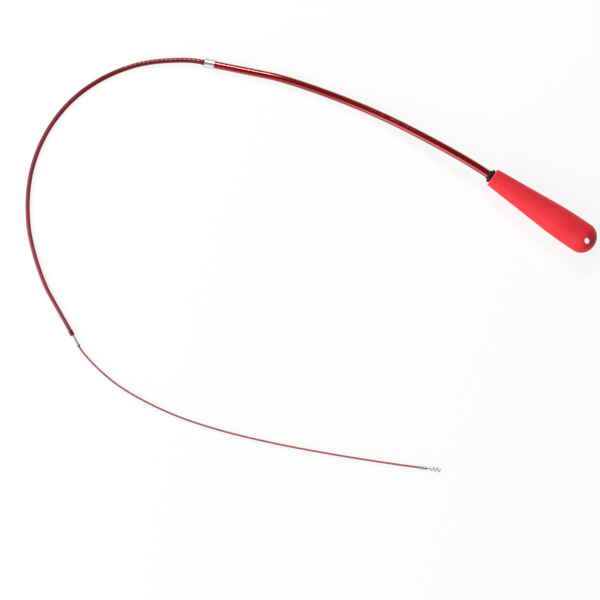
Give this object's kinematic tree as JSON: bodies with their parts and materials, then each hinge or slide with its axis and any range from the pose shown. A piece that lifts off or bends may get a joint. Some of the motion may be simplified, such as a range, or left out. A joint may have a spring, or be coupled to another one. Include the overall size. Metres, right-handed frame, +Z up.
{
  "type": "drain auger",
  "caption": "Telescopic flexible drain auger with a tapered red grip, dark red tube stages drawn out in a loose loop, a chrome ferrule and a corkscrew wire tip.",
  "frame": {"origin": "on the floor below the middle of the handle, from the rear cap to the tip of the mouth bush", "axes": "+X along the handle, towards the tube; +Y to the side the stages bend to; +Z up from the floor"},
  "size_m": [0.4153, 0.3182, 0.025],
  "materials": {
    "red_grip": "satin",
    "black_plastic": "satin",
    "red_tube": "gloss",
    "chrome_fitting": "polished",
    "white_nylon": "satin",
    "black_rubber": "matt",
    "maroon_rubber": "satin",
    "maroon_band": "satin",
    "steel_fitting": "satin",
    "brass_fitting": "satin",
    "red_wire": "gloss"
  },
  "bodies": {
    "handle": {"handle_grip": "red_grip", "rear_cap": "red_grip", "handle_core": "black_plastic", "mouth_bush": "black_plastic", "tube_anchor": "brass_fitting", "anchor_clip": "steel_fitting", "outer_tube": "red_tube", "outer_ferrule": "chrome_fitting", "outer_guide": "white_nylon", "drag_ring": "black_rubber", "wiper_ring": "maroon_rubber"},
    "middle": {"middle_tube": "red_tube", "middle_stop": "brass_fitting", "end_band": "maroon_band", "end_sleeve": "steel_fitting", "sleeve_collar": "black_rubber"},
    "wire": {"wire": "red_wire", "wire_stop": "brass_fitting", "tip_crimp": "steel_fitting", "tip_spiral": "steel_fitting"}
  },
  "joints": [
    {"name": "middle_slide", "type": "slide", "parent": "handle", "child": "middle", "axis": [0.9231, 0.3846, 0], "range_m": [0, 0.035]},
    {"name": "wire_slide", "type": "slide", "parent": "middle", "child": "wire", "axis": [-0.8944, 0.4472, 0], "range_m": [0, 0.02]}
  ]
}
